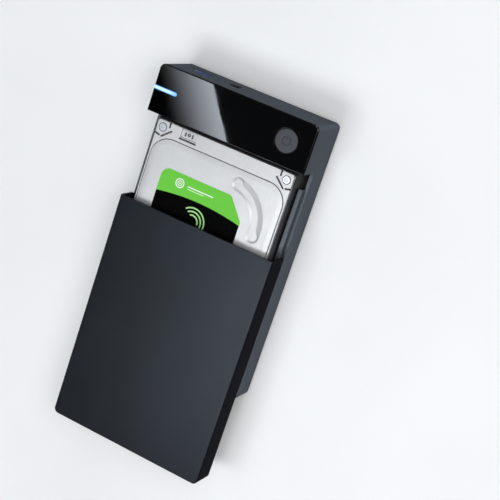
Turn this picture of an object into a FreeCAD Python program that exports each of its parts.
import FreeCAD, Part
import math
import operator
import os
import Sketcher
from types import SimpleNamespace

# External 3.5 inch hard disk drive: a desktop case with a slide-off cover, a bridge board in its
# head, and a bare drive that plugs onto the board.
# Frame: +Z up, +Y towards the head with its sockets, +X towards the power button.
# Origin: under the middle of the case, on the plane that the rubber feet stand on.

# ---------------------------------------------------------------------------------------------
# Driving dimensions, in millimetres and degrees
# ---------------------------------------------------------------------------------------------

DRIVING_SIZES = {
    # case
    "case_width": 115.0,
    "case_length": 193.0,
    "case_height": 40.5,
    "case_wall": 2.2,
    "case_corner": 3.5,
    "head_length": 32.0,
    "rim_level": 3.0,
    "rim_width": 1.5,
    "rim_groove_width": 0.35,
    "rim_groove_depth": 0.7,
    "plateau_level": 0.6,
    "plateau_margin_x": 11.5,
    "plateau_margin_y": 11.5,
    "plateau_wall": 1.0,
    "seam_level": 22.2,
    "seam_gap": 0.3,
    "seam_corner": 3.0,
    "rail_width": 2.6,
    "rail_rise": 3.8,
    "rail_foot": 5.0,
    "rail_setback": 12.0,
    "cover_wall": 1.8,
    "cover_top": 2.0,
    "cover_edge": 0.9,
    "cover_opening": 58.4,
    "guide_length": 8.0,
    "guide_overlap": 0.6,
    "guide_gap": 0.5,
    "guide_front": 20.0,
    "guide_pitch": 70.0,
    "panel_thickness": 2.0,
    "panel_edge": 0.5,
    "window_clearance": 0.6,
    # vents and feet
    "vent_width": 1.5,
    "vent_pitch": 3.5,
    "vent_shift": 1.0,
    "long_vent_length": 8.0,
    "short_vent_length": 7.3,
    "foot_half_length": 8.2,
    "foot_angle": 50.0,
    "foot_inset_x": 15.5,
    "foot_inset_y": 14.0,
    "foot_radius": 2.6,
    "foot_edge": 0.25,
    "foot_lip": 1.7,
    "foot_lip_rise": 0.25,
    "foot_recess": 1.6,
    "foot_clearance": 0.15,
    # button and light
    "button_x": 39.7,
    "button_setback": 16.0,
    "button_radius": 7.8,
    "button_gap": 0.25,
    "button_edge": 0.4,
    "button_flange": 1.2,
    "button_flange_reach": 1.2,
    "button_flange_gap": 0.1,
    "button_sink": 0.2,
    "button_stem": 2.0,
    "button_travel": 0.8,
    "switch_width": 6.0,
    "switch_height": 3.5,
    "switch_floor": 1.0,
    "switch_overtravel": 0.2,
    "plunger_radius": 1.8,
    "plunger_gap": 0.05,
    "plunger_rise": 2.8,
    "light_width": 2.6,
    "light_length": 17.0,
    "light_drop": 5.0,
    "light_sink": 0.05,
    "light_stem": 2.0,
    "light_stem_inset": 0.8,
    "light_stem_gap": 0.7,
    # sockets in the end wall
    "socket_level": 19.3,
    "socket_rise": 4.7,
    "socket_clearance": 0.3,
    "usb_x": -37.5,
    "usb_width": 13.1,
    "usb_height": 5.9,
    "usb_depth": 17.3,
    "usb_setback": 0.2,
    "usb_wall": 0.35,
    "usb_corner": 0.6,
    "usb_tab_width": 0.6,
    "usb_tab_length": 3.0,
    "usb_block": 3.5,
    "usb_tongue": 2.0,
    "tongue_setback": 0.35,
    "tongue_inset": 1.0,
    "tongue_lift": 0.9,
    "power_socket_x": -13.0,
    "power_barrel_radius": 4.2,
    "power_bore_radius": 3.0,
    "power_pin_radius": 1.05,
    "power_pin_tip": 0.5,
    "power_block_width": 9.4,
    "power_block_depth": 12.3,
    "power_block_floor": 2.5,
    "power_setback": 0.4,
    "power_pin_setback": 1.2,
    # bridge board
    "board_thickness": 1.6,
    "board_clearance": 0.5,
    "board_corner": 1.5,
    "board_depth": 24.0,
    "pillar_radius": 3.0,
    "board_screw_inset": 5.3,
    "board_screw_row": 4.2,
    "board_screw_x": 8.0,
    "board_screw_back": 6.3,
    "board_screw_head": 2.2,
    "board_screw_head_height": 1.4,
    "board_screw_shank": 1.0,
    "board_screw_length": 6.0,
    "thread_allowance": 0.05,
    "board_hole_clearance": 0.4,
    "can_radius": 3.0,
    "can_height": 8.0,
    "small_can_radius": 2.2,
    "small_can_height": 5.5,
    # plug between board and drive
    "plug_x": -20.7,
    "plug_width": 38.0,
    "plug_level": 13.3,
    "plug_ear": 1.5,
    "plug_foot_rise": 0.3,
    "plug_back_rise": 3.6,
    "plug_setback": 8.8,
    "plug_base": 2.2,
    "plug_wall": 1.6,
    "plug_lip": 0.7,
    "plug_clearance": 0.35,
    "plug_gap": 0.4,
    "plug_key": 2.0,
    "tongue_thickness": 1.3,
    "tongue_length": 5.3,
    "tongue_end_gap": 0.6,
    "contact_pitch": 1.27,
    "contact_width": 0.8,
    "contact_length": 3.0,
    "contact_thickness": 0.25,
    "contact_start": 18.0,
    # bare drive: casting
    "drive_width": 101.6,
    "drive_length": 147.0,
    "drive_thickness": 26.1,
    "drive_base": 8.4,
    "drive_front": 61.5,
    "drive_corner": 2.0,
    "deck_thickness": 2.8,
    "board_recess": 3.8,
    "recess_start": 10.5,
    "drive_rail": 5.0,
    "well_left": 8.8,
    "well_right": 4.0,
    "well_front": 8.5,
    "well_start": 29.5,
    "well_corner": 9.0,
    "notch_margin": 1.2,
    "notch_rise": 4.2,
    "side_hole_level": 6.35,
    "bottom_hole_x": 47.6,
    "fixing_hole_radius": 1.4,
    "fixing_hole_depth": 3.5,
    # bare drive: top cover and label
    "gasket_thickness": 0.3,
    "gasket_width": 1.2,
    "gasket_inset": 0.5,
    "lid_flange": 0.8,
    "lid_raise": 0.4,
    "lid_inset": 0.4,
    "lid_outer_corner": 1.6,
    "lid_corner": 13.0,
    "lid_border_side": 1.8,
    "lid_border_front": 10.1,
    "lid_border_back": 2.5,
    "lid_bevel": 3.3,
    "lid_bevel_drop": 0.2,
    "lid_trench": 0.6,
    "lid_trench_depth": 0.35,
    "lid_cut": 0.6,
    "lid_screw_inset_x": 4.8,
    "lid_screw_inset_y": 4.9,
    "lid_screw_shift": 2.0,
    "lid_screw_head": 2.5,
    "lid_screw_head_height": 0.8,
    "lid_screw_shank": 1.1,
    "lid_screw_length": 6.0,
    "lid_screw_sink": 0.5,
    "lid_screw_gap": 0.4,
    "window_x": -26.6,
    "window_width": 11.6,
    "window_start": 6.2,
    "window_depth": 0.35,
    "window_hole": 1.3,
    "channel_x": 12.5,
    "channel_y": 18.0,
    "channel_inner": 19.5,
    "channel_outer": 28.8,
    "channel_depth": 0.75,
    "channel_wall": 1.4,
    "channel_slope": 4.0,
    "channel_start": -9.5,
    "channel_span": 90.0,
    "label_left": 13.8,
    "label_right": 25.1,
    "label_start": 15.5,
    "label_end": 28.2,
    "label_cut_x": 11.5,
    "label_cut_y": 14.0,
    "label_corner": 3.5,
    "label_round": 6.0,
    "label_thickness": 0.12,
    # bare drive: circuit board
    "drive_board_gap": 0.4,
    "drive_board_rise": 0.9,
    "drive_board_thickness": 1.2,
    "drive_board_start": 4.0,
    "drive_board_end": 0.2,
    "drive_screw_inset": 3.8,
    "drive_screw_row": 10.0,
    "drive_screw_head": 2.0,
    "drive_screw_shank": 1.0,
    "drive_screw_head_height": 0.8,
    # spindle and platters
    "spindle_y": -34.5,
    "platter_radius": 47.5,
    "platter_bore": 12.5,
    "platter_thickness": 1.27,
    "spacer_thickness": 2.6,
    "spacer_radius": 16.0,
    "disc_wall_gap": 0.9,
    "deck_gap": 2.6,
    "shaft_radius": 2.0,
    "shaft_rise": 1.0,
    "journal_clearance": 0.03,
    "magnet_thickness": 1.2,
    "air_gap": 0.5,
    "hub_flange": 1.2,
    "hub_rim": 1.5,
    "hub_drop": 0.3,
    "hub_sleeve": 2.1,
    "magnet_lift": 1.0,
    "hub_web": 3.5,
    "hub_lift": 1.6,
    "hub_fit": 0.1,
    "stator_bore": 4.6,
    "stator_tooth": 6.5,
    "stator_foot": 1.5,
    "clamp_bore": 4.0,
    "clamp_step": 11.0,
    "clamp_thickness": 1.4,
    "clamp_lip": 0.9,
    "clamp_screw_circle": 8.0,
    "clamp_screw_head": 1.8,
    "clamp_screw_head_height": 0.9,
    "clamp_screw_shank": 0.9,
    "clamp_screw_length": 2.8,
    # actuator
    "pivot_x": 21.0,
    "pivot_y": 19.5,
    "post_radius": 3.0,
    "post_drop": 0.5,
    "bearing_radius": 5.0,
    "barrel_radius": 8.0,
    "barrel_rise": 1.0,
    "barrel_drop": 1.5,
    "arm_length": 38.0,
    "arm_thickness": 1.0,
    "arm_root": 8.8,
    "arm_waist": 6.4,
    "arm_tip": 4.4,
    "suspension_overlap": 4.0,
    "suspension_thickness": 0.2,
    "suspension_width": 3.8,
    "suspension_tip": 1.4,
    "tab_width": 1.0,
    "tab_length": 1.6,
    "slider_length": 1.2,
    "slider_thickness": 0.35,
    "head_reach": 50.2,
    "park_radius": 49.5,
    "head_swing": 33.0,
    "coil_inner": 13.0,
    "coil_outer": 23.5,
    "coil_thickness": 2.4,
    "coil_span": 38.0,
    "coil_winding": 3.2,
    "coil_window_wide": 2.8,
    "coil_window_narrow": 1.4,
    # voice coil motor
    "yoke_thickness": 2.0,
    "yoke_inner_reach": 2.2,
    "yoke_outer_reach": 1.4,
    "yoke_leg_radius": 1.3,
    "yoke_leg_inset": 1.5,
    "yoke_leg_gap": 2.0,
    "yoke_leg_edge": 3.0,
    "magnet_plate": 1.8,
    "magnet_gap": 0.8,
    "magnet_trim": 0.8,
    # small parts
    "ramp_gap": 2.3,
    "ramp_depth": 4.2,
    "ramp_drop": 2.0,
    "ramp_near": 1.0,
    "ramp_far": 4.5,
    "foam_clearance": 0.4,
    "foam_width": 60.0,
    "foam_length": 30.0,
    "foam_start": 15.5,
    "floor_foam_width": 3.6,
    "floor_foam_inset": 0.8,
    "floor_foam_start": 13.5,
    "floor_foam_pitch": 90.0,
    "floor_foam_gap": 0.2,
}

document = FreeCAD.newDocument("HardDiskDrive")
sheet = document.addObject("Spreadsheet::Sheet", "Sizes")
for row, (alias, number) in enumerate(DRIVING_SIZES.items(), start=1):
    sheet.set(f"A{row}", alias)
    sheet.set(f"B{row}", str(number))
    sheet.setAlias(f"B{row}", alias)
document.recompute()


class Size:
    """A number together with the spreadsheet formula that gives it."""

    def __init__(self, formula, value):
        self.formula = formula
        self.value = value

    def __add__(self, other):
        return combine(self, "+", other)

    def __radd__(self, other):
        return combine(other, "+", self)

    def __sub__(self, other):
        return combine(self, "-", other)

    def __rsub__(self, other):
        return combine(other, "-", self)

    def __mul__(self, other):
        return combine(self, "*", other)

    def __rmul__(self, other):
        return combine(other, "*", self)

    def __truediv__(self, other):
        return combine(self, "/", other)

    def __neg__(self):
        return combine(0, "-", self)


OPERATIONS = {"+": operator.add, "-": operator.sub, "*": operator.mul, "/": operator.truediv}


def as_size(number):
    if isinstance(number, Size):
        return number
    return Size(f"({float(number):.6f})", float(number))


def combine(left, sign, right):
    left = as_size(left)
    right = as_size(right)
    return Size(f"({left.formula} {sign} {right.formula})", OPERATIONS[sign](left.value, right.value))


def cosine(angle):
    return Size(f"cos({angle.formula} * 1deg)", math.cos(math.radians(angle.value)))


def sine(angle):
    return Size(f"sin({angle.formula} * 1deg)", math.sin(math.radians(angle.value)))


def arc_cosine(ratio):
    return Size(f"(acos({ratio.formula}) / 1deg)", math.degrees(math.acos(ratio.value)))


def arc_tangent(ratio):
    return Size(f"(atan({ratio.formula}) / 1deg)", math.degrees(math.atan(ratio.value)))


def square_root(number):
    return Size(f"sqrt({number.formula})", math.sqrt(number.value))


size = SimpleNamespace(**{alias: Size(f"Sizes.{alias}", getattr(sheet, alias)) for alias in DRIVING_SIZES})


def bind(item, name, number):
    """Tie a property of a document object to a formula of the sheet."""
    item.setExpression(name, as_size(number).formula)


# ---------------------------------------------------------------------------------------------
# Outlines: each returns a function that draws itself in a sketch
# ---------------------------------------------------------------------------------------------

FLAT = FreeCAD.Vector(0, 0, 1)


def vector(x, y):
    return FreeCAD.Vector(as_size(x).value, as_size(y).value, 0)


def fix_distance(sketch, kind, geometry, point, number):
    number = as_size(number)
    index = sketch.addConstraint(Sketcher.Constraint(kind, -1, 1, geometry, point, number.value))
    sketch.setExpression(f"Constraints[{index}]", number.formula)


def fix_point(sketch, geometry, point, x, y):
    fix_distance(sketch, "DistanceX", geometry, point, x)
    fix_distance(sketch, "DistanceY", geometry, point, y)


def fix_radius(sketch, geometry, radius):
    index = sketch.addConstraint(Sketcher.Constraint("Radius", geometry, as_size(radius).value))
    sketch.setExpression(f"Constraints[{index}]", as_size(radius).formula)


def polygon(points):
    def draw(sketch):
        first = sketch.GeometryCount
        following = points[1:] + points[:1]
        for start, end in zip(points, following):
            sketch.addGeometry(Part.LineSegment(vector(*start), vector(*end)), False)
        for offset, point in enumerate(points):
            line = first + offset
            next_line = first + (offset + 1) % len(points)
            fix_point(sketch, line, 1, *point)
            sketch.addConstraint(Sketcher.Constraint("Coincident", line, 2, next_line, 1))

    return draw


def rectangle(left, right, near, far):
    return polygon([(left, near), (right, near), (right, far), (left, far)])


def circle(x, y, radius):
    def draw(sketch):
        curve = Part.Circle(vector(x, y), FLAT, as_size(radius).value)
        geometry = sketch.addGeometry(curve, False)
        fix_point(sketch, geometry, 3, x, y)
        fix_radius(sketch, geometry, radius)

    return draw


def quarter_arc(x, y, radius, quarter):
    curve = Part.Circle(vector(x, y), FLAT, as_size(radius).value)
    return Part.ArcOfCircle(curve, quarter * math.pi / 2, (quarter + 1) * math.pi / 2)


def rounded_rectangle(left, right, near, far, radius):
    def draw(sketch):
        first = sketch.GeometryCount
        west, east = left + radius, right - radius
        south, north = near + radius, far - radius
        corners = [(east, north), (west, north), (west, south), (east, south)]
        sides = [((east, far), (west, far)), ((left, north), (left, south))]
        sides += [((west, near), (east, near)), ((right, south), (right, north))]
        for quarter in range(4):
            sketch.addGeometry(quarter_arc(*corners[quarter], radius, quarter), False)
            start, end = sides[quarter]
            sketch.addGeometry(Part.LineSegment(vector(*start), vector(*end)), False)
        for quarter in range(4):
            arc = first + 2 * quarter
            side = arc + 1
            next_arc = first + (2 * quarter + 2) % 8
            sketch.addConstraint(Sketcher.Constraint("Tangent", arc, 2, side, 1))
            sketch.addConstraint(Sketcher.Constraint("Tangent", side, 2, next_arc, 1))
            fix_point(sketch, arc, 3, *corners[quarter])
        fix_radius(sketch, first, radius)

    return draw


def slot(x_start, y_start, x_end, y_end, radius):
    """A strip with round ends, from one end's centre to the other's."""

    def draw(sketch):
        first = sketch.GeometryCount
        start, end = vector(x_start, y_start), vector(x_end, y_end)
        along = end - start
        heading = math.atan2(along.y, along.x)
        reach = as_size(radius).value
        side = FreeCAD.Vector(-math.sin(heading), math.cos(heading), 0) * reach
        quarter = math.pi / 2
        start_circle, end_circle = Part.Circle(start, FLAT, reach), Part.Circle(end, FLAT, reach)
        start_cap = Part.ArcOfCircle(start_circle, heading + quarter, heading + 3 * quarter)
        end_cap = Part.ArcOfCircle(end_circle, heading - quarter, heading + quarter)
        sketch.addGeometry(start_cap, False)
        sketch.addGeometry(Part.LineSegment(start - side, end - side), False)
        sketch.addGeometry(end_cap, False)
        sketch.addGeometry(Part.LineSegment(end + side, start + side), False)
        for offset in range(4):
            current = first + offset
            following = first + (offset + 1) % 4
            sketch.addConstraint(Sketcher.Constraint("Tangent", current, 2, following, 1))
        fix_point(sketch, first, 3, x_start, y_start)
        fix_point(sketch, first + 2, 3, x_end, y_end)
        fix_radius(sketch, first, radius)

    return draw


def cove(x, y, radius):
    """The fillet of an inner corner at x and y, on its low-x, high-y side."""

    def draw(sketch):
        first = sketch.GeometryCount
        curve = Part.Circle(vector(x - radius, y + radius), FLAT, as_size(radius).value)
        sketch.addGeometry(Part.ArcOfCircle(curve, 1.5 * math.pi, 2 * math.pi), False)
        sketch.addGeometry(Part.LineSegment(vector(x - radius, y), vector(x, y)), False)
        sketch.addGeometry(Part.LineSegment(vector(x, y), vector(x, y + radius)), False)
        sketch.addConstraint(Sketcher.Constraint("Tangent", first, 1, first + 1, 1))
        sketch.addConstraint(Sketcher.Constraint("Coincident", first + 1, 2, first + 2, 1))
        sketch.addConstraint(Sketcher.Constraint("Tangent", first + 2, 2, first, 2))
        sketch.addConstraint(Sketcher.Constraint("Horizontal", first + 1))
        sketch.addConstraint(Sketcher.Constraint("Vertical", first + 2))
        fix_point(sketch, first + 2, 1, x, y)
        fix_radius(sketch, first, radius)

    return draw


def star(x, y, outer, inner):
    """Six-lobed driver recess of a small screw."""
    points = []
    for corner in range(12):
        reach = outer if corner % 2 == 0 else inner
        angle = math.radians(30 * corner)
        points.append((x + reach * math.cos(angle), y + reach * math.sin(angle)))
    return polygon(points)


# ---------------------------------------------------------------------------------------------
# Pieces: PartDesign bodies built up feature by feature
# ---------------------------------------------------------------------------------------------

PLANES = {"XY": ("XY_Plane", 1), "XZ": ("XZ_Plane", -1), "YZ": ("YZ_Plane", 1)}
# smallest difference that counts, in millimetres and cubic millimetres
TOUCHING = 1e-6
pieces = []


class Piece:
    """One sub-part. Outlines on XY are (x, y), on XZ (x, z) and on YZ (y, z)."""

    def __init__(self, label):
        self.body = document.addObject("PartDesign::Body", label)
        self.body.Label = label
        self.body.AllowCompound = True
        self.volume = 0.0
        pieces.append(self.body)

    def feature(self, kind):
        return self.body.newObject(f"PartDesign::{kind}", f"{self.body.Label}_{kind}")

    def sketch(self, plane, level, outlines):
        role, normal = PLANES[plane]
        support = next(item for item in self.body.Origin.OriginFeatures if item.Role == role)
        sketch = self.body.newObject("Sketcher::SketchObject", f"{self.body.Label}_Sketch")
        sketch.AttachmentSupport = [(support, "")]
        sketch.MapMode = "FlatFace"
        bind(sketch, "AttachmentOffset.Base.z", normal * as_size(level))
        for outline in outlines:
            outline(sketch)
        return sketch

    def settle(self, feature, grows):
        """Recompute and make sure that a feature added or removed material."""
        document.recompute()
        if feature.Shape.isNull():
            raise ValueError(f"{feature.Label} has no shape")
        change = feature.Shape.Volume - self.volume
        if (change > 0) != grows or abs(change) < TOUCHING:
            raise ValueError(f"{feature.Label} changed the volume by {change:.4f}")
        self.volume = feature.Shape.Volume
        return self

    def pad(self, plane, low, high, *outlines):
        """Fill the outlines between two levels of the plane's own axis."""
        level = low if PLANES[plane][1] > 0 else high
        pad = self.feature("Pad")
        pad.Profile = self.sketch(plane, level, outlines)
        bind(pad, "Length", as_size(high) - low)
        self.body.Tip = pad
        return self.settle(pad, True)

    def pocket(self, plane, low, high, *outlines):
        """Cut the outlines away between two levels of the plane's own axis."""
        level = high if PLANES[plane][1] > 0 else low
        pocket = self.feature("Pocket")
        pocket.Profile = self.sketch(plane, level, outlines)
        bind(pocket, "Length", as_size(high) - low)
        self.body.Tip = pocket
        return self.settle(pocket, False)

    def loft(self, low, low_outline, high, high_outline):
        loft = self.feature("AdditiveLoft")
        loft.Profile = self.sketch("XY", low, [low_outline])
        loft.Sections = [self.sketch("XY", high, [high_outline])]
        self.body.Tip = loft
        return self.settle(loft, True)

    def revolve(self, outline, angle=360.0):
        """Turn a (radius, z) outline about the body's own Z axis, half to each side of +X."""
        revolution = self.feature("Revolution")
        sketch = self.sketch("XZ", 0, [outline])
        revolution.Profile = sketch
        revolution.ReferenceAxis = (sketch, ["V_Axis"])
        revolution.Midplane = True
        bind(revolution, "Angle", angle)
        self.body.Tip = revolution
        return self.settle(revolution, True)

    def groove(self, outline, x, y, middle, angle):
        """Turn a (radius, z) cut about an upright axis at x and y, half to each side of middle."""
        groove = self.feature("Groove")
        sketch = self.sketch("XZ", y, [outline])
        bind(sketch, "AttachmentOffset.Base.x", x)
        offset = sketch.AttachmentOffset
        offset.Rotation = FreeCAD.Rotation(FreeCAD.Vector(0, 1, 0), 1)
        sketch.AttachmentOffset = offset
        bind(sketch, "AttachmentOffset.Rotation.Angle", middle)
        groove.Profile = sketch
        groove.ReferenceAxis = (sketch, ["V_Axis"])
        groove.Midplane = True
        bind(groove, "Angle", angle)
        self.body.Tip = groove
        return self.settle(groove, False)

    def repeat(self, plane_axis, spacing, count):
        """Copy the last feature along an axis of its sketch."""
        last = self.body.Tip
        pattern = self.feature("LinearPattern")
        pattern.Originals = [last]
        pattern.Direction = (last.Profile[0], [plane_axis])
        bind(pattern, "Length", spacing * (count - 1))
        pattern.Occurrences = count
        self.body.Tip = pattern
        return self.settle(pattern, last.TypeId == "PartDesign::Pad")

    def edges(self, wanted):
        shape = self.body.Tip.Shape
        return [f"Edge{number}" for number, edge in enumerate(shape.Edges, start=1) if wanted(edge)]

    def fillet(self, radius, wanted):
        base = (self.body.Tip, self.edges(wanted))
        fillet = self.feature("Fillet")
        fillet.Base = base
        bind(fillet, "Radius", radius)
        self.body.Tip = fillet
        return self.settle(fillet, False)

    def chamfer(self, across, wanted):
        base = (self.body.Tip, self.edges(wanted))
        chamfer = self.feature("Chamfer")
        chamfer.Base = base
        bind(chamfer, "Size", across)
        self.body.Tip = chamfer
        return self.settle(chamfer, False)

    def place(self, x=0, y=0, turn=0):
        bind(self.body, "Placement.Base.x", x)
        bind(self.body, "Placement.Base.y", y)
        bind(self.body, "Placement.Rotation.Angle", turn)
        return self


def upright(edge):
    box = edge.BoundBox
    return max(box.XLength, box.YLength) < TOUCHING < box.ZLength


def at_level(level):
    def wanted(edge):
        box = edge.BoundBox
        return max(abs(box.ZMin - level.value), abs(box.ZMax - level.value)) < TOUCHING

    return wanted


# ---------------------------------------------------------------------------------------------
# Derived places shared by several pieces
# ---------------------------------------------------------------------------------------------

# how far a cut runs past the face that it opens
PAST = as_size(1.0)

half_width = size.case_width / 2
half_length = size.case_length / 2
head_start = half_length - size.head_length
head_back = half_length - size.case_wall
floor_level = size.rim_level + size.case_wall
plateau_x = half_width - size.plateau_margin_x
plateau_y = half_length - size.plateau_margin_y
rim_x = half_width - size.rim_width
rim_y = half_length - size.rim_width
bay_x = half_width - size.case_wall
panel_level = size.case_height - size.panel_thickness
board_top = size.socket_level - size.socket_rise
board_level = board_top - size.board_thickness
board_front = head_back - size.board_clearance - size.board_depth
button_y = half_length - size.button_setback
button_contact = board_top + size.switch_height + size.plunger_rise
light_half = size.light_width / 2
light_stem_x = -bay_x + size.light_stem_inset + size.light_stem / 2
rail_top = size.seam_level + size.rail_rise

usb_half = size.usb_width / 2
usb_rise = size.usb_height / 2
plug_half = size.plug_width / 2
tongue_half = size.tongue_thickness / 2
receptacle_half = plug_half + size.plug_wall
receptacle_rise = tongue_half + size.plug_wall + size.plug_lip
plug_back = size.drive_front - size.plug_setback
tongue_back = plug_back + size.plug_base
tongue_front = tongue_back + size.tongue_length

half_drive = size.drive_width / 2
drive_back = size.drive_front - size.drive_length
drive_top = size.drive_base + size.drive_thickness
lid_level = drive_top - size.lid_raise - size.lid_flange
flange_top = drive_top - size.lid_raise
casting_top = lid_level - size.gasket_thickness
recess_top = size.drive_base + size.board_recess
recess_x = half_drive - size.drive_rail
recess_back = size.spindle_y + size.recess_start
deck_level = recess_top + size.deck_thickness
drive_board_level = size.drive_base + size.drive_board_rise
lid_screw_x = half_drive - size.lid_screw_inset_x
lid_screw_front = size.drive_front - size.lid_screw_inset_y
lid_screw_back = drive_back + size.lid_screw_inset_y

platter_pitch = size.platter_thickness + size.spacer_thickness
first_platter = deck_level + size.deck_gap + size.hub_flange
stack_top = first_platter + 2 * platter_pitch + size.platter_thickness
hub_barrel = size.platter_bore - size.hub_fit
hub_top = stack_top - size.hub_drop
magnet_outer = hub_barrel - size.hub_rim
magnet_inner = magnet_outer - size.magnet_thickness

arm_middle = first_platter - size.spacer_thickness / 2
arm_half = size.arm_thickness / 2
pivot_rise = size.pivot_y - size.spindle_y
pivot_distance = square_root(size.pivot_x * size.pivot_x + pivot_rise * pivot_rise)
pivot_heading = 180 + arc_tangent(pivot_rise / size.pivot_x)
park_cosine = (
    pivot_distance * pivot_distance + size.head_reach * size.head_reach - size.park_radius * size.park_radius
) / (2 * pivot_distance * size.head_reach)
park_heading = pivot_heading - arc_cosine(park_cosine)
coil_low = deck_level + size.yoke_thickness + size.magnet_plate + size.magnet_gap
coil_high = coil_low + size.coil_thickness

board_screw_places = [
    (-(bay_x - size.board_screw_inset), board_front + size.board_screw_row),
    (bay_x - size.board_screw_inset, board_front + size.board_screw_row),
    (size.board_screw_x, head_back - size.board_screw_back),
]
lid_screw_places = [
    (side * lid_screw_x, y)
    for side in (-1, 1)
    for y in (lid_screw_front, (lid_screw_front + lid_screw_back) / 2 + size.lid_screw_shift, lid_screw_back)
]
drive_screw_places = [
    (side * (recess_x - size.drive_screw_inset), y)
    for side in (-1, 1)
    for y in (recess_back + size.drive_screw_row, plug_back - size.drive_screw_row)
]

# Distances of the mounting holes behind the drive's connector end, as 3.5 inch drives have them.
SIDE_HOLES = (28.5, 70.1, 130.1)
BOTTOM_HOLES = (41.3, 117.5)

# Packages on the boards: x, distance behind the board's reference edge, width, depth, thickness.
BRIDGE_CHIPS = [(-24.0, 8.2, 8.0, 8.0, 1.0), (6.0, 6.2, 5.0, 6.0, 1.6), (18.0, 8.2, 7.0, 7.0, 3.0),
                (26.0, 4.2, 4.0, 5.0, 1.2)]
STATUS_DIODE = (light_stem_x, 0.0, 1.6, 2.4, 0.8)
DRIVE_CHIPS = [(-8.0, 54.5, 16.0, 16.0, 1.4), (18.0, 58.5, 11.0, 9.0, 1.1), (22.0, 28.5, 9.0, 9.0, 1.2),
               (-28.0, 68.5, 6.0, 8.0, 1.2)]
LARGE_CANS = [(20.0, 19.2), (28.0, 19.2)]
SMALL_CAN = (0.5, 4.7)

# Cut lines beside each front screw of the top cover, as offsets from the screw towards the
# middle and towards the front: start, then end.
CORNER_CUTS = [((6.8, -0.6), (0.7, -5.9)), ((-1.2, -5.6), (-5.2, -4.7)), ((4.7, 1.4), (4.7, 4.6))]

# Small blocks in the front of the actuator well: x from, x to, y from, y to.
FLEX_BLOCK = (-12.0, -4.0, 38.0, 50.0)
FILTER_BLOCK = (-41.0, -37.0, 22.0, 36.0)
POUCH_BLOCK = (-30.0, -17.0, 40.0, 50.0)
FLEX_HEIGHT = 6.0
POUCH_HEIGHT = 9.0
FILTER_DROP = 3.0


# ---------------------------------------------------------------------------------------------
# Case
# ---------------------------------------------------------------------------------------------


def circles(places, radius):
    return [circle(x, y, radius) for x, y in places]


def foot_slot(side, end, radius):
    reach_x = size.foot_half_length * cosine(size.foot_angle)
    reach_y = size.foot_half_length * sine(size.foot_angle)
    x = half_width - size.foot_inset_x
    y = half_length - size.foot_inset_y
    start = (side * (x - reach_x), end * (y - reach_y))
    finish = (side * (x + reach_x), end * (y + reach_y))
    return slot(*start, *finish, radius)


def all_feet(radius):
    return [foot_slot(side, end, radius) for side in (-1, 1) for end in (-1, 1)]


def side_block(side, inner, outer, near, far):
    """A rectangle between two distances from the middle plane, on one side of it."""
    left, right = (inner, outer) if side > 0 else (-outer, -inner)
    return rectangle(left, right, near, far)


def whole_case():
    return rounded_rectangle(-half_width, half_width, -half_length, half_length, size.case_corner)


def usb_outline(margin, corner):
    return rounded_rectangle(size.usb_x - usb_half - margin, size.usb_x + usb_half + margin,
                             size.socket_level - usb_rise - margin, size.socket_level + usb_rise + margin,
                             corner)


def base_shell():
    """Tray with its floor, side rails and the walls of the head."""
    shell = Piece("base_shell")
    tray_back = -half_length + size.case_wall
    shell.pad("XY", size.rim_level, size.seam_level, whole_case())
    shell.pad("XY", size.seam_level - PAST, panel_level,
              rounded_rectangle(-half_width, half_width, head_start, half_length, size.case_corner))
    shell.pad("XY", size.seam_level - PAST, panel_level,
              rectangle(-half_width, half_width, head_start, half_length - size.case_corner))
    shell.pad("YZ", -half_width, half_width, cove(head_start, size.seam_level, size.seam_corner))
    shell.loft(size.plateau_level, rectangle(-plateau_x, plateau_x, -plateau_y, plateau_y),
               size.rim_level, rectangle(-rim_x, rim_x, -rim_y, rim_y))
    shell.pocket("XY", floor_level, size.seam_level + size.seam_corner + PAST,
                 rectangle(-bay_x, bay_x, tray_back, head_start))
    shell.pocket("XY", floor_level, panel_level + PAST,
                 rectangle(-bay_x, bay_x, head_start + size.case_wall, head_back))
    hollow_x = plateau_x - size.plateau_wall
    hollow_y = plateau_y - size.plateau_wall
    shell.pocket("XY", size.plateau_level + size.case_wall, floor_level + PAST,
                 rectangle(-hollow_x, hollow_x, -hollow_y, hollow_y))
    rails = [side_block(side, bay_x - size.rail_width, bay_x, tray_back, head_start - size.rail_setback)
             for side in (-1, 1)]
    shell.pad("XY", size.seam_level - size.rail_foot, rail_top, *rails)
    groove_x = rim_x + size.rim_groove_width
    groove_y = rim_y + size.rim_groove_width
    shell.pocket("XY", size.rim_level, size.rim_level + size.rim_groove_depth,
                 rectangle(-groove_x, groove_x, -groove_y, groove_y),
                 rectangle(-rim_x, rim_x, -rim_y, rim_y))
    shell_openings(shell)
    pillar_places = board_screw_places
    shell.pad("XY", floor_level - PAST, board_level, *circles(pillar_places, size.pillar_radius))
    shell.pocket("XY", floor_level, board_level + PAST,
                 *circles(pillar_places, size.board_screw_shank + size.thread_allowance))
    lip_level = size.plateau_level - size.foot_lip_rise
    shell.pad("XY", lip_level, floor_level, *all_feet(size.foot_radius + size.foot_lip))
    shell.pocket("XY", lip_level - PAST, size.foot_recess, *all_feet(size.foot_radius + size.foot_clearance))
    vents(shell)
    return shell


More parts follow.
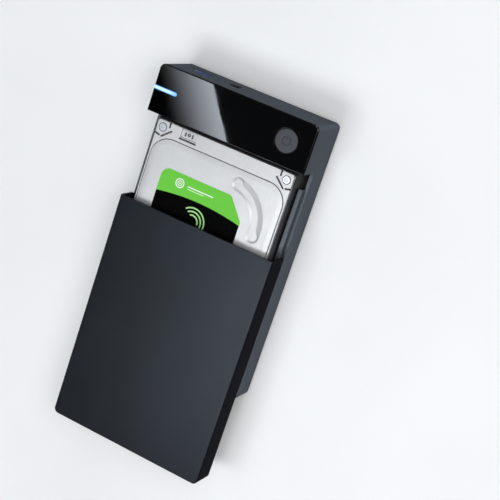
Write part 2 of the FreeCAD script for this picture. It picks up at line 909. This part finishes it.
def shell_openings(shell):
    """Window for the drive's plug, holes for the sockets, and the notch for the light guide."""
    window_half = receptacle_half + size.window_clearance
    window_rise = receptacle_rise + size.window_clearance + size.plug_lip
    shell.pocket("XZ", head_start - PAST, head_start + size.case_wall + PAST,
                 rectangle(size.plug_x - window_half, size.plug_x + window_half,
                           size.plug_level - window_rise, size.plug_level + window_rise))
    gap = size.socket_clearance
    shell.pocket("XZ", head_back - PAST, half_length + PAST,
                 usb_outline(gap, size.usb_corner + gap),
                 circle(size.power_socket_x, size.socket_level, size.power_barrel_radius + gap))
    shell.pocket("YZ", -half_width - PAST, -bay_x + PAST,
                 rectangle(button_y - light_half, button_y + light_half,
                           size.case_height - size.light_drop, size.case_height))


def vents(shell):
    """Rows of slots through the sloping border of the floor, on all four sides."""
    half = size.vent_width / 2
    long_middle = (plateau_x + rim_x) / 2 - size.vent_shift
    long_reach = size.long_vent_length / 2 - half
    short_middle = (plateau_y + rim_y) / 2 - size.vent_shift
    short_reach = size.short_vent_length / 2 - half
    long_start = -8 * size.vent_pitch
    short_start = -6 * size.vent_pitch
    long_rows = [slot(side * (long_middle - long_reach), long_start,
                      side * (long_middle + long_reach), long_start, half) for side in (-1, 1)]
    shell.pocket("XY", as_size(0.0), floor_level + PAST, *long_rows)
    shell.repeat("V_Axis", size.vent_pitch, 17)
    short_rows = [slot(short_start, end * (short_middle - short_reach),
                       short_start, end * (short_middle + short_reach), half) for end in (-1, 1)]
    shell.pocket("XY", as_size(0.0), floor_level + PAST, *short_rows)
    shell.repeat("H_Axis", size.vent_pitch, 13)


def slide_cover():
    """Cover that slides along the case: top, two side skirts and the far end wall."""
    cover = Piece("slide_cover")
    front = head_start - size.seam_gap
    low = size.seam_level + size.seam_gap
    inner_x = half_width - size.cover_wall
    ceiling = size.case_height - size.cover_top
    cover.pad("XY", low, size.case_height, whole_case())
    cover.pocket("XY", low - PAST, size.case_height + PAST,
                 rectangle(-half_width - PAST, half_width + PAST, front, half_length + PAST))
    cover.fillet(size.cover_edge, top_rim)
    cover.pocket("XY", low - PAST, ceiling,
                 rectangle(-inner_x, inner_x, -half_length + size.cover_wall, front + PAST))
    cover.fillet(size.seam_corner, skirt_corner)
    guide_x = bay_x - size.rail_width + size.guide_overlap
    overlap = size.guide_gap / 2
    for step in range(2):
        near = head_start - size.guide_front - step * size.guide_pitch
        far = near + size.guide_length
        guides = [side_block(side, guide_x, inner_x + overlap, near, far) for side in (-1, 1)]
        cover.pad("XY", rail_top + size.guide_gap, ceiling + overlap, *guides)
    cover.place(y=-size.cover_opening)
    return cover


def top_rim(edge):
    """Top edges of the cover, apart from the one that meets the head."""
    return at_level(size.case_height)(edge) and edge.BoundBox.YMin < (head_start - PAST).value


def skirt_corner(edge):
    """Lower front corners of the side skirts."""
    front = (head_start - size.seam_gap).value
    box = edge.BoundBox
    at_front = abs(box.YMin - front) < TOUCHING and abs(box.YMax - front) < TOUCHING
    return at_level(size.seam_level + size.seam_gap)(edge) and at_front


def head_panel():
    """Glossy top plate of the head, with openings for the button and the light."""
    panel = Piece("head_panel")
    panel.pad("XY", panel_level, size.case_height, whole_case())
    panel.pocket("XY", panel_level - PAST, size.case_height + PAST,
                 rectangle(-half_width - PAST, half_width + PAST, -half_length - PAST, head_start))
    panel.chamfer(size.panel_edge, at_level(size.case_height))
    panel.pocket("XY", panel_level - PAST, size.case_height + PAST,
                 circle(size.button_x, button_y, size.button_radius + size.button_gap),
                 slot(-half_width - 2 * PAST, button_y,
                      -half_width + size.light_length - light_half, button_y, light_half))
    return panel


def light_guide():
    """Clear strip across the head panel that wraps down the side, with a stem to its diode."""
    guide = Piece("light_guide")
    side = -half_width
    top = size.case_height - size.light_sink
    stem_half = size.light_stem / 2
    diode_top = board_top + STATUS_DIODE[-1]
    guide.pad("XY", panel_level, top,
              slot(side + light_half, button_y, side + size.light_length - light_half, button_y, light_half))
    guide.pad("XY", size.case_height - size.light_drop, top,
              rectangle(side, side + size.case_wall, button_y - light_half, button_y + light_half))
    guide.pad("XY", diode_top + size.light_stem_gap, panel_level + PAST,
              rectangle(light_stem_x - stem_half, light_stem_x + stem_half,
                        button_y - stem_half, button_y + stem_half))
    return guide


def power_button():
    """Round button with a retaining flange and a stem down to its switch."""
    button = Piece("power_button")
    top = size.case_height - size.button_sink
    flange_high = panel_level - size.button_flange_gap
    flange_low = flange_high - size.button_flange
    radius = size.button_radius
    flange_radius = radius + size.button_flange_reach
    edge = size.button_edge
    button.revolve(polygon([
        (as_size(0.0), flange_low), (flange_radius, flange_low), (flange_radius, flange_high),
        (radius, flange_high), (radius, top - edge), (radius - edge, top), (as_size(0.0), top)]))
    button.pad("XY", button_contact, flange_low + size.button_flange_gap,
               circle(as_size(0.0), as_size(0.0), size.button_stem))
    button.place(x=size.button_x, y=button_y)
    return button


def switch_pieces():
    """Push switch under the button: its case on the board, and the plunger that moves."""
    case = Piece("button_switch")
    half = size.switch_width / 2
    floor = board_top + size.switch_floor
    case.pad("XY", board_top, board_top + size.switch_height, rectangle(-half, half, -half, half))
    case.pocket("XY", floor, board_top + size.switch_height + PAST,
                circle(as_size(0.0), as_size(0.0), size.plunger_radius + size.plunger_gap))
    case.place(x=size.button_x, y=button_y)
    plunger = Piece("switch_plunger")
    plunger.pad("XY", floor + size.button_travel + size.switch_overtravel, button_contact,
                circle(as_size(0.0), as_size(0.0), size.plunger_radius))
    plunger.place(x=size.button_x, y=button_y)


def rubber_feet():
    for end, depth_name in ((-1, "rear"), (1, "front")):
        for side, side_name in ((-1, "left"), (1, "right")):
            foot = Piece(f"rubber_foot_{side_name}_{depth_name}")
            foot.pad("XY", as_size(0.0), size.foot_recess, foot_slot(side, end, size.foot_radius))
            foot.fillet(size.foot_edge, at_level(as_size(0.0)))


# ---------------------------------------------------------------------------------------------
# Bridge board and its sockets
# ---------------------------------------------------------------------------------------------


def bridge_board():
    board = Piece("bridge_board")
    board_x = bay_x - size.board_clearance
    board.pad("XY", board_level, board_top,
              rounded_rectangle(-board_x, board_x, board_front, head_back - size.board_clearance,
                                size.board_corner))
    board.pocket("XY", board_level - PAST, board_top + PAST,
                 *circles(board_screw_places, size.board_screw_shank + size.board_hole_clearance))
    return board


def chip_group(label, low, edge, chips):
    """Square-edged packages standing on one level of a board, placed from one of its edges."""
    group = Piece(label)
    for x, behind, width, depth, thickness in chips:
        y = edge + behind
        group.pad("XY", low, low + thickness,
                  rectangle(as_size(x - width / 2), as_size(x + width / 2), y - depth / 2, y + depth / 2))
    return group


def board_parts():
    chip_group("bridge_chips", board_top, board_front, BRIDGE_CHIPS)
    chip_group("status_led", board_top, button_y, [STATUS_DIODE])
    cans = Piece("board_capacitors")
    large = [(x, board_front + behind) for x, behind in LARGE_CANS]
    cans.pad("XY", board_top, board_top + size.can_height, *circles(large, size.can_radius))
    cans.pad("XY", board_top, board_top + size.small_can_height,
             circle(SMALL_CAN[0], board_front + SMALL_CAN[1], size.small_can_radius))
    screws("board_screws", board_screw_places, board_top, size.board_screw_head, size.board_screw_head_height,
           size.board_screw_shank, size.board_screw_length)


def screws(label, places, seat, head_radius, head_height, shank_radius, shank_length):
    """Pan-head screws with a six-lobed recess, standing head up on one level."""
    group = Piece(label)
    group.pad("XY", seat, seat + head_height, *circles(places, head_radius))
    group.pad("XY", seat - shank_length, seat, *circles(places, shank_radius))
    group.pocket("XY", seat + head_height / 2, seat + head_height + PAST,
                 *[star(x, y, head_radius / 2, head_radius / 3) for x, y in places])
    return group


def usb_socket():
    """USB type A receptacle: folded metal shell, and the insulator with its tongue."""
    shell = Piece("usb_shell")
    front = half_length - size.usb_setback
    back = front - size.usb_depth
    wall = size.usb_wall
    inner = usb_half - wall
    bottom = size.socket_level - usb_rise
    mouth = rectangle(size.usb_x - inner, size.usb_x + inner,
                      bottom + wall, size.socket_level + usb_rise - wall)
    shell.pad("XZ", back, front, usb_outline(as_size(0.0), size.usb_corner), mouth)
    tab = size.usb_tab_width / 2
    tabs = [rectangle(middle - tab, middle + tab, back + size.usb_tab_length, back + 2 * size.usb_tab_length)
            for middle in (size.usb_x - usb_half + tab, size.usb_x + usb_half - tab)]
    shell.pad("XY", board_top, bottom + wall, *tabs)
    insulator = Piece("usb_tongue")
    insulator.pad("XZ", back, back + size.usb_block, mouth)
    tongue = inner - size.tongue_inset
    tongue_low = bottom + wall + size.tongue_lift
    insulator.pad("XZ", back + size.usb_block - PAST, front - size.tongue_setback,
                  rectangle(size.usb_x - tongue, size.usb_x + tongue,
                            tongue_low, tongue_low + size.usb_tongue))


def power_socket():
    """Barrel socket for the 12 V supply, with its centre pin."""
    jack = Piece("dc_jack")
    half = size.power_block_width / 2
    barrel_front = half_length - size.power_setback
    block_front = head_back - size.usb_setback
    block_back = block_front - size.power_block_depth
    bore_back = block_back + size.power_block_floor
    pin_front = barrel_front - size.power_pin_setback
    x = size.power_socket_x
    jack.pad("XZ", block_back, block_front,
             rectangle(x - half, x + half, board_top, size.socket_level + half))
    jack.pad("XZ", block_front - PAST, barrel_front, circle(x, size.socket_level, size.power_barrel_radius))
    jack.pocket("XZ", bore_back, barrel_front + PAST, circle(x, size.socket_level, size.power_bore_radius))
    pin = Piece("dc_pin")
    pin.pad("XZ", bore_back, pin_front, circle(x, size.socket_level, size.power_pin_radius))
    pin.fillet(size.power_pin_tip, lambda edge: edge.BoundBox.YMin > (pin_front - size.power_pin_tip).value)


def tongue_halves(margin):
    """Outlines of the plug's two tongues, either side of its key, with a margin all round."""
    rise = tongue_half + margin
    near = size.plug_key - margin
    far = plug_half + margin
    return [rectangle(size.plug_x + left, size.plug_x + right, size.plug_level - rise, size.plug_level + rise)
            for left, right in ((-far, -near), (near, far))]


def drive_plug():
    """Serial plug of the drive and the receptacle of the board that it slides into."""
    plug = Piece("sata_plug")
    ear = plug_half + size.plug_ear
    plug.pad("XZ", plug_back, tongue_back,
             rectangle(size.plug_x - ear, size.plug_x + ear,
                       size.drive_base + size.plug_foot_rise, size.plug_level + size.plug_back_rise))
    plug.pad("XZ", tongue_back, tongue_front, *tongue_halves(as_size(0.0)))
    receptacle = Piece("sata_receptacle")
    nose = tongue_back + size.plug_gap
    receptacle.pad("XZ", nose, board_front,
                   rectangle(size.plug_x - receptacle_half, size.plug_x + receptacle_half,
                             size.plug_level - receptacle_rise, size.plug_level + receptacle_rise))
    receptacle.pocket("XZ", nose - PAST, tongue_front + size.tongue_end_gap,
                      *tongue_halves(size.plug_clearance))
    contacts = Piece("receptacle_contacts")
    first = size.plug_x - size.contact_start
    contacts.pad("XY", board_top, board_top + size.contact_thickness,
                 rectangle(first, first + size.contact_width, board_front, board_front + size.contact_length))
    contacts.repeat("H_Axis", size.contact_pitch, 28)


# ---------------------------------------------------------------------------------------------
# Bare drive
# ---------------------------------------------------------------------------------------------


def drive_casting():
    """Die-cast base: platter well, actuator well, motor boss, board recess and screw holes."""
    casting = Piece("drive_casting")
    above = casting_top + PAST
    below = size.drive_base - PAST
    casting.pad("XY", size.drive_base, casting_top,
                rounded_rectangle(-half_drive, half_drive, drive_back, size.drive_front, size.drive_corner))
    casting.pocket("XY", deck_level, above,
                   circle(as_size(0.0), size.spindle_y, size.platter_radius + size.disc_wall_gap))
    left = -half_drive + size.well_left
    right = half_drive - size.well_right
    near = size.spindle_y + size.well_start
    far = size.drive_front - size.well_front
    corner = size.well_corner
    casting.pocket("XY", deck_level, above, polygon([
        (left, near), (right, near), (right, far - corner), (right - corner, far),
        (left + corner, far), (left, far - corner)]))
    casting.pocket("XY", below, recess_top,
                   rectangle(-recess_x, recess_x, recess_back, size.drive_front + PAST))
    notch_x = receptacle_half + size.notch_margin
    casting.pocket("XY", below, size.plug_level + size.notch_rise,
                   rectangle(size.plug_x - notch_x, size.plug_x + notch_x,
                             plug_back - size.drive_board_end, size.drive_front + PAST))
    hole = size.fixing_hole_radius
    level = size.drive_base + size.side_hole_level
    inner = half_drive - size.fixing_hole_depth
    sides = [circle(size.drive_front - behind, level, hole) for behind in SIDE_HOLES]
    casting.pocket("YZ", inner, half_drive + PAST, *sides)
    casting.pocket("YZ", -half_drive - PAST, -inner, *sides)
    bottom = [circle(side * size.bottom_hole_x, size.drive_front - behind, hole)
              for side in (-1, 1) for behind in BOTTOM_HOLES]
    casting.pocket("XY", below, size.drive_base + size.fixing_hole_depth, *bottom)
    casting.pocket("XY", casting_top - size.lid_screw_length - PAST, above,
                   *circles(lid_screw_places, size.lid_screw_shank + size.thread_allowance))
    casting.pocket("XY", recess_top, deck_level + PAST,
                   circle(as_size(0.0), size.spindle_y, size.shaft_radius),
                   circle(size.pivot_x, size.pivot_y, size.post_radius))
    return casting


def drive_lid():
    """Pressed top cover: flange with screws, raised middle with a bevelled edge, and arc channel."""
    lid = Piece("drive_top_cover")
    edge_x = half_drive - size.lid_inset
    back = drive_back + size.lid_inset
    front = size.drive_front - size.lid_inset
    raised_x = half_drive - size.lid_border_side
    raised_front = front - size.lid_border_front
    raised_back = back + size.lid_border_back
    above = drive_top + PAST
    lid.pad("XY", lid_level, flange_top,
            rounded_rectangle(-edge_x, edge_x, back, front, size.lid_outer_corner))
    trench = size.lid_trench
    trench_level = flange_top - size.lid_trench_depth
    lid.pocket("XY", trench_level, above,
               rounded_rectangle(-raised_x - trench, raised_x + trench, raised_back - trench,
                                 raised_front + trench, size.lid_corner + trench))
    bevel = size.lid_bevel
    bevel_level = drive_top - size.lid_bevel_drop
    raised = rounded_rectangle(-raised_x, raised_x, raised_back, raised_front, size.lid_corner)
    lid.pad("XY", trench_level, bevel_level, raised)
    lid.loft(bevel_level, raised, drive_top,
             rounded_rectangle(-raised_x + bevel, raised_x - bevel, raised_back + bevel,
                               raised_front - bevel, size.lid_corner - bevel))
    lid_channel(lid)
    seat = flange_top - size.lid_screw_sink
    lid.pocket("XY", seat, above, *circles(lid_screw_places, size.lid_screw_head + size.lid_screw_gap))
    lid.pocket("XY", lid_level - PAST, above,
               *circles(lid_screw_places, size.lid_screw_shank + size.lid_screw_gap))
    lid_openings(lid, front, above)
    return lid


def lid_openings(lid, front, above):
    """Cut lines round the front corners, and the window beside the left one."""
    cut = size.lid_cut
    slots = []
    for side in (-1, 1):
        for (start_in, start_y), (end_in, end_y) in CORNER_CUTS:
            slots.append(slot(side * (lid_screw_x - start_in), lid_screw_front + start_y,
                              side * (lid_screw_x - end_in), lid_screw_front + end_y, cut))
    half = size.window_width / 2
    near = size.drive_front - size.window_start
    sill = near - 2 * cut
    slots.append(slot(size.window_x - half, sill, size.window_x + half, sill, cut))
    for side in (-1, 1):
        x = size.window_x + side * 2 * size.window_hole
        slots.append(slot(x, near + 3 * cut, x, near + 6 * cut, cut))
    lid.pocket("XY", lid_level - PAST, above, *slots)
    lid.pocket("XY", lid_level - PAST, above, circle(size.window_x, near + 5 * cut, size.window_hole))
    lid.pocket("XY", flange_top - size.window_depth, above,
               rectangle(size.window_x - half, size.window_x + half, near, front - size.lid_inset))


def lid_channel(lid):
    """Arc-shaped channel with a steep inner wall, a wide outer slope and round ends."""
    floor = drive_top - size.channel_depth
    above = drive_top + PAST
    lid.groove(polygon([
        (size.channel_inner, above), (size.channel_inner, drive_top),
        (size.channel_inner + size.channel_wall, floor), (size.channel_outer - size.channel_slope, floor),
        (size.channel_outer, drive_top), (size.channel_outer, above)]),
        size.channel_x, size.channel_y, size.channel_start + size.channel_span / 2, size.channel_span)
    middle = (size.channel_inner + size.channel_outer) / 2
    half = (size.channel_outer - size.channel_inner) / 2
    for heading in (size.channel_start, size.channel_start + size.channel_span):
        lid.groove(polygon([
            (as_size(0.0), above), (as_size(0.0), floor), (half - size.channel_wall, floor),
            (half, drive_top), (half, above)]),
            size.channel_x + middle * cosine(heading), size.channel_y + middle * sine(heading),
            as_size(0.0), as_size(360.0))


def lid_pieces():
    gasket = Piece("drive_gasket")
    width = size.gasket_width
    outer_x = half_drive - size.gasket_inset
    back = drive_back + size.gasket_inset
    front = size.drive_front - size.gasket_inset
    gasket.pad("XY", casting_top, lid_level,
               rectangle(-outer_x, outer_x, back, front),
               rectangle(-outer_x + width, outer_x - width, back + width, front - width))
    screws("drive_cover_screws", lid_screw_places, flange_top - size.lid_screw_sink, size.lid_screw_head,
           size.lid_screw_head_height, size.lid_screw_shank, size.lid_screw_length)
    label = Piece("drive_label")
    left = -half_drive + size.label_left
    right = half_drive - size.label_right
    near = drive_back + size.label_start
    far = size.drive_front - size.label_end
    label.pad("XY", drive_top, drive_top + size.label_thickness, polygon([
        (left, near), (right, near), (right, far - size.label_cut_y), (right - size.label_cut_x, far),
        (left, far)]))

    def far_left(edge):
        across = abs(edge.BoundBox.XMin - left.value)
        along = abs(edge.BoundBox.YMax - far.value)
        return upright(edge) and max(across, along) < TOUCHING

    label.fillet(size.label_corner, lambda edge: upright(edge) and not far_left(edge))
    label.fillet(size.label_round, far_left)


def drive_electronics():
    board = Piece("drive_board")
    inner = recess_x - size.drive_board_gap
    low = drive_board_level
    high = low + size.drive_board_thickness
    board.pad("XY", low, high,
              rectangle(-inner, inner,
                        recess_back + size.drive_board_start, plug_back - size.drive_board_end))
    board.pocket("XY", low - PAST, high + PAST,
                 *circles(drive_screw_places, size.drive_screw_shank + size.board_hole_clearance))
    chip_group("drive_board_chips", high, size.spindle_y, DRIVE_CHIPS)
    fixings = Piece("drive_board_screws")
    fixings.pad("XY", low - size.drive_screw_head_height, low,
                *circles(drive_screw_places, size.drive_screw_head))
    fixings.pad("XY", low, recess_top, *circles(drive_screw_places, size.drive_screw_shank))


def clamp_screw_circles(radius):
    """Outlines on the ring of clamp screws, one every sixth of a turn."""
    reach = size.clamp_screw_circle
    return [circle(reach * cosine(as_size(60.0 * step)), reach * sine(as_size(60.0 * step)), radius)
            for step in range(6)]


def spindle_motor():
    """Fixed shaft and stator, and the hub that turns about them with its ring magnet."""
    bore = size.shaft_radius + size.journal_clearance
    flange_level = first_platter - size.hub_flange
    web = hub_top - size.hub_web
    magnet_low = deck_level + size.magnet_lift
    shaft = Piece("spindle_shaft")
    shaft.revolve(rectangle(as_size(0.0), size.shaft_radius, recess_top, hub_top + size.shaft_rise))
    stator = Piece("motor_stator")
    stator_outer = magnet_inner - size.air_gap
    tooth_top = web - 2 * size.air_gap
    foot_top = deck_level + size.stator_foot
    stator.revolve(polygon([
        (size.stator_bore, deck_level), (stator_outer, deck_level), (stator_outer, tooth_top),
        (size.stator_tooth, tooth_top), (size.stator_tooth, foot_top), (size.stator_bore, foot_top)]))
    magnet = Piece("rotor_magnet")
    magnet.revolve(rectangle(magnet_inner, magnet_outer, magnet_low, web))
    hub = Piece("spindle_hub")
    sleeve = bore + size.hub_sleeve
    sleeve_low = deck_level + size.hub_lift
    hub.revolve(polygon([
        (bore, sleeve_low), (sleeve, sleeve_low), (sleeve, web), (magnet_outer, web),
        (magnet_outer, magnet_low), (hub_barrel, magnet_low), (hub_barrel, flange_level),
        (size.spacer_radius, flange_level), (size.spacer_radius, first_platter), (hub_barrel, first_platter),
        (hub_barrel, hub_top), (bore, hub_top)]))
    hub.pocket("XY", hub_top - size.clamp_screw_length, hub_top + PAST,
               *clamp_screw_circles(size.clamp_screw_shank + size.thread_allowance))
    for piece in (shaft, stator, magnet, hub):
        piece.place(y=size.spindle_y)


def platter_stack():
    for number in range(3):
        low = first_platter + number * platter_pitch
        high = low + size.platter_thickness
        platter = Piece(f"platter_{number + 1}")
        platter.revolve(rectangle(size.platter_bore, size.platter_radius, low, high))
        platter.place(y=size.spindle_y)
        if number < 2:
            spacer = Piece(f"platter_spacer_{number + 1}")
            spacer.revolve(rectangle(size.platter_bore, size.spacer_radius, high, low + platter_pitch))
            spacer.place(y=size.spindle_y)
    clamp = Piece("disk_clamp")
    clamp_top = stack_top + size.clamp_thickness
    lip_top = stack_top + size.clamp_lip
    clamp.revolve(polygon([
        (size.clamp_bore, stack_top), (size.spacer_radius, stack_top), (size.spacer_radius, lip_top),
        (size.clamp_step, clamp_top), (size.clamp_bore, clamp_top)]))
    clamp.pocket("XY", stack_top - PAST, clamp_top + PAST,
                 *clamp_screw_circles(size.clamp_screw_shank + size.hub_fit))
    clamp.place(y=size.spindle_y)
    fixings = Piece("clamp_screws")
    fixings.pad("XY", clamp_top, clamp_top + size.clamp_screw_head_height,
                *clamp_screw_circles(size.clamp_screw_head))
    fixings.pad("XY", stack_top - size.clamp_screw_length, clamp_top,
                *clamp_screw_circles(size.clamp_screw_shank))
    fixings.place(y=size.spindle_y)


def tapered(start, start_width, middle, middle_width, end, end_width):
    """Outline that narrows along +X in two steps, the same to both sides of the X axis."""
    half = [(start, start_width / 2), (middle, middle_width / 2), (end, end_width / 2)]
    return polygon([(x, -y) for x, y in half] + [(x, y) for x, y in reversed(half)])


def actuator():
    """Pivot post, bearing sleeve, arm block with its coil, suspensions and heads."""
    barrel_low = deck_level + size.barrel_rise
    barrel_high = casting_top - size.barrel_drop
    post = Piece("pivot_post")
    post.revolve(rectangle(as_size(0.0), size.post_radius, recess_top, casting_top - size.post_drop))
    post.place(x=size.pivot_x, y=size.pivot_y)
    bearing = Piece("pivot_bearing")
    bearing.revolve(rectangle(size.post_radius + size.journal_clearance, size.bearing_radius,
                              barrel_low, barrel_high))
    block = Piece("actuator_arms")
    block.revolve(rectangle(size.bearing_radius, size.barrel_radius, barrel_low, barrel_high))
    root = (size.bearing_radius + size.barrel_radius) / 2
    tip = size.arm_length
    for number in range(4):
        level = arm_middle + number * platter_pitch
        block.pad("XY", level - arm_half, level + arm_half,
                  tapered(root, size.arm_root, tip * 0.7, size.arm_waist, tip, size.arm_tip))
    block.revolve(rectangle(-size.coil_inner, -root, coil_low, coil_high), size.coil_span)
    coil = Piece("voice_coil")
    coil.revolve(rectangle(-size.coil_outer, -size.coil_inner, coil_low, coil_high), size.coil_span)
    outer_turn = -size.coil_outer + size.coil_winding
    inner_turn = -size.coil_inner - size.coil_winding
    coil.pocket("XY", coil_low - PAST, coil_high + PAST, polygon([
        (outer_turn, -size.coil_window_wide), (inner_turn, -size.coil_window_narrow),
        (inner_turn, size.coil_window_narrow), (outer_turn, size.coil_window_wide)]))
    springs, heads = head_pieces()
    for piece in (bearing, block, coil, springs, heads):
        piece.place(x=size.pivot_x, y=size.pivot_y, turn=park_heading)


def head_pieces():
    """A leaf spring on each arm face that looks at a platter, with its lift tab and its slider."""
    springs = Piece("head_suspensions")
    heads = Piece("head_sliders")
    reach = size.head_reach
    tab_end = reach + size.tab_length
    half_tab = size.tab_width / 2
    half_slider = size.slider_length / 2
    for number, face in ((0, 1), (1, -1), (1, 1), (2, -1), (2, 1), (3, -1)):
        level = arm_middle + number * platter_pitch
        seat = level + face * arm_half
        spring_face = seat + face * size.suspension_thickness
        head_face = spring_face + face * size.slider_thickness
        low, high = sorted_levels(seat, spring_face)
        springs.pad("XY", low, high,
                    tapered(size.arm_length - size.suspension_overlap, size.suspension_width,
                            reach - size.tab_length, size.suspension_tip, tab_end, size.tab_width))
        low, high = sorted_levels(spring_face, head_face)
        heads.pad("XY", low, high, rectangle(reach - half_slider, reach + half_slider, -half_tab, half_tab))
    return springs, heads


def sorted_levels(first, second):
    return (first, second) if first.value < second.value else (second, first)


def voice_coil_motor():
    """Lower and upper steel yokes with their magnets, either side of the coil.

    The yokes reach past the coil at both ends of its swing, to the legs that join them.
    """
    inner = size.coil_inner - size.yoke_inner_reach
    outer = size.coil_outer + size.yoke_outer_reach
    lower_face = coil_low - size.magnet_gap
    upper_face = coil_high + size.magnet_gap
    magnet_low = lower_face - size.magnet_plate
    magnet_high = upper_face + size.magnet_plate
    leg_reach = outer - size.yoke_leg_radius - size.yoke_leg_inset
    leg_half = arc_tangent(size.yoke_leg_radius / leg_reach)
    leg_angle = (size.coil_span + size.head_swing) / 2 + leg_half + size.yoke_leg_gap
    yoke_span = 2 * (leg_angle + leg_half + size.yoke_leg_edge)
    magnet_span = 2 * (leg_angle - leg_half - size.yoke_leg_gap)
    trim = size.magnet_trim
    heading = park_heading + 180 + size.head_swing / 2
    for label, low, high in (("lower_yoke", deck_level, magnet_low),
                             ("upper_yoke", magnet_high, magnet_high + size.yoke_thickness)):
        yoke = Piece(label)
        yoke.revolve(rectangle(inner, outer, low, high), yoke_span)
        if label == "upper_yoke":
            leg_x = leg_reach * cosine(leg_angle)
            leg_y = leg_reach * sine(leg_angle)
            yoke.pad("XY", magnet_low, low, *circles([(leg_x, -leg_y), (leg_x, leg_y)], size.yoke_leg_radius))
        yoke.place(x=size.pivot_x, y=size.pivot_y, turn=heading)
    for label, low, high in (("lower_magnet", magnet_low, lower_face),
                             ("upper_magnet", upper_face, magnet_high)):
        magnet = Piece(label)
        magnet.revolve(rectangle(inner + trim, outer - trim, low, high), magnet_span)
        magnet.place(x=size.pivot_x, y=size.pivot_y, turn=heading)


def block(label, low, high, outline):
    left, right, near, far = (as_size(number) for number in outline)
    piece = Piece(label)
    piece.pad("XY", low, high, rectangle(left, right, near, far))
    return piece


def small_parts():
    """Parking ramp, connector, filter and pouch inside the drive, and the foam round it."""
    ramp = Piece("parking_ramp")
    ramp_start = size.head_reach + size.ramp_gap
    ramp.pad("XY", deck_level, casting_top - size.ramp_drop,
             rectangle(ramp_start, ramp_start + size.ramp_depth, -size.ramp_far, size.ramp_near))
    ramp.place(x=size.pivot_x, y=size.pivot_y, turn=park_heading)
    block("flex_connector", deck_level, deck_level + FLEX_HEIGHT, FLEX_BLOCK)
    block("air_filter", deck_level, casting_top - FILTER_DROP, FILTER_BLOCK)
    block("desiccant_pack", deck_level, deck_level + POUCH_HEIGHT, POUCH_BLOCK)
    pads = Piece("floor_foam_pads")
    outer = half_drive - size.floor_foam_inset
    inner = outer - size.floor_foam_width
    starts = [drive_back + size.floor_foam_start + step * size.floor_foam_pitch for step in range(2)]
    pads.pad("XY", floor_level, size.drive_base - size.floor_foam_gap,
             *[side_block(side, inner, outer, near, near + size.foam_length)
               for side in (-1, 1) for near in starts])
    foam = Piece("cover_foam_pad")
    foam_half = size.foam_width / 2
    foam_near = drive_back + size.foam_start
    foam.pad("XY", drive_top + size.label_thickness + size.foam_clearance, size.case_height - size.cover_top,
             rectangle(-foam_half, foam_half, foam_near, foam_near + size.foam_length))
    foam.place(y=-size.cover_opening)


for build in (
    base_shell, slide_cover, head_panel, light_guide, power_button, switch_pieces, rubber_feet,
    bridge_board, board_parts, usb_socket, power_socket, drive_plug,
    drive_casting, drive_lid, lid_pieces, drive_electronics,
    spindle_motor, platter_stack, actuator, voice_coil_motor, small_parts,
):
    build()

document.recompute()
for item in document.Objects:
    if "Invalid" in item.State or "Error" in item.State:
        raise ValueError(f"{item.Label} is {item.State}")
os.makedirs("parts", exist_ok=True)
for body in pieces:
    shape = body.Shape
    if shape.isNull() or not shape.isValid():
        raise ValueError(f"{body.Label} has no valid shape")
    shape.exportStep(f"parts/{body.Label}.step")
print(f"{len(pieces)} pieces written")
